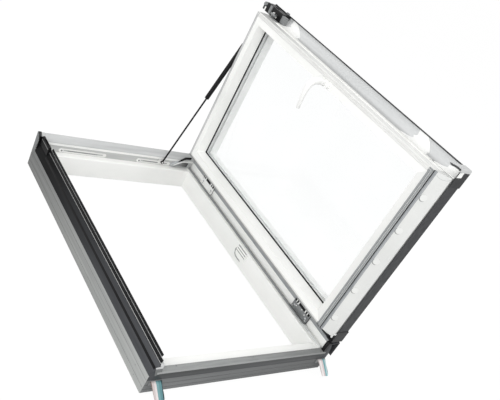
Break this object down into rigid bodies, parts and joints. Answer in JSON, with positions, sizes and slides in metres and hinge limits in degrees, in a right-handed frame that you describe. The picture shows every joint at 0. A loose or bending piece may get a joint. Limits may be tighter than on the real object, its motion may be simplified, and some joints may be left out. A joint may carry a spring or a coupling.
{
  "type": "roof skylight",
  "caption": "Side-hung roof exit window: white-lined frame with grey outer panels and a double-glazed sash held open by a gas strut.",
  "frame": {"origin": "middle of the sill's back face, on the frame's centre line", "axes": "+Z out of the roof, +Y up the slope from the sill to the head, +X towards the hinge side"},
  "size_m": [0.806, 1.236, 0.91],
  "materials": {
    "white_frame": "satin white coating",
    "white_sash": "satin white coating",
    "grey_panel": "satin grey",
    "grey_trim": "satin light grey",
    "dark_cover": "semi-gloss charcoal",
    "grey_rubber": "soft grey",
    "black_rubber": "soft black",
    "black_plastic": "moulded black",
    "white_clip": "moulded white",
    "steel": "brushed",
    "grey_fitting": "satin",
    "zinc": "rainbow zinc",
    "strut_black": "gloss black",
    "glass": "clear",
    "spacer": "dull"
  },
  "bodies": {
    "frame": {"frame_sill": "white_frame", "frame_head": "white_frame", "frame_jamb_left": "white_frame", "frame_jamb_right": "white_frame", "side_panel_left": "grey_panel", "side_panel_right": "grey_panel", "sill_panel": "grey_panel", "sill_cover": "grey_trim", "sill_drip": "dark_cover", "jamb_cover_left": "dark_cover", "jamb_cover_right": "dark_cover", "head_cover": "grey_trim", "jamb_seals": "grey_rubber", "head_bead": "white_frame", "ledge_gasket": "grey_rubber", "corner_cap_left": "grey_panel", "corner_cap_right": "grey_panel", "jamb_end_left": "grey_trim", "jamb_end_right": "black_plastic", "hinge_side_cover": "dark_cover", "keeper": "black_plastic", "bracket_left": "zinc", "bracket_right": "zinc", "hinge_leaf_frame_lower": "steel", "hinge_leaf_frame_upper": "steel", "hinge_pins": "steel", "hinge_screws": "steel", "hinge_bushes": "black_plastic", "track_left": "grey_fitting", "track_right": "grey_fitting", "strut_foot": "black_plastic", "stop_bracket": "grey_fitting", "finger_catch": "white_frame"},
    "sash": {"sash_rail_sill": "white_sash", "sash_rail_head": "white_sash", "sash_stile_free": "white_sash", "sash_stile_hinge": "white_sash", "sash_sill_board": "white_sash", "inner_pane": "glass", "outer_pane": "glass", "spacer_bar": "spacer", "glazing_gasket": "black_rubber", "sash_seals": "grey_rubber", "cladding_sill": "dark_cover", "cladding_head": "dark_cover", "cladding_free": "dark_cover", "cladding_hinge": "dark_cover", "end_cap_free": "black_plastic", "end_cap_hinge": "black_plastic", "cladding_clips": "white_clip", "screw_plugs": "white_sash", "hinge_leaf_sash_lower": "steel", "hinge_leaf_sash_upper": "steel", "lock_case": "black_plastic", "strut_stud": "steel", "handle_base": "white_clip"},
    "handle": {"handle_lever": "white_clip"},
    "lock": {"lock_bar": "steel"},
    "strut_rod": {"strut_rod": "strut_black"},
    "strut_barrel": {"strut_barrel": "strut_black"}
  },
  "joints": [
    {"name": "sash_hinge", "type": "hinge", "parent": "frame", "child": "sash", "pos_m": [0.37, 0, 0.155], "axis": [0, -1, 0], "range_deg": [0, 90]},
    {"name": "handle_turn", "type": "hinge", "parent": "sash", "child": "handle", "pos_m": [0.302, 0.59, 0.84], "axis": [-1, 0, 0], "range_deg": [0, 90]},
    {"name": "lock_slide", "type": "slide", "parent": "sash", "child": "lock", "axis": [0, 1, 0], "range_m": [0, 0.018]},
    {"name": "strut_turn", "type": "hinge", "parent": "frame", "child": "strut_rod", "pos_m": [0.192, 1.1125, 0.107], "axis": [0, -1, 0], "range_deg": [0, 101.51]},
    {"name": "strut_travel", "type": "slide", "parent": "strut_rod", "child": "strut_barrel", "axis": [0.2066, 0, 0.9784], "range_m": [-0.24, 0]}
  ],
  "couplings": [
    {"joint": "lock_slide", "follows": "handle_turn", "m_per_rad": 0.011459},
    {"joint": "strut_turn", "follows": "sash_hinge", "ratio": 1.1277},
    {"joint": "strut_travel", "follows": "sash_hinge", "m_per_rad": -0.15271}
  ]
}
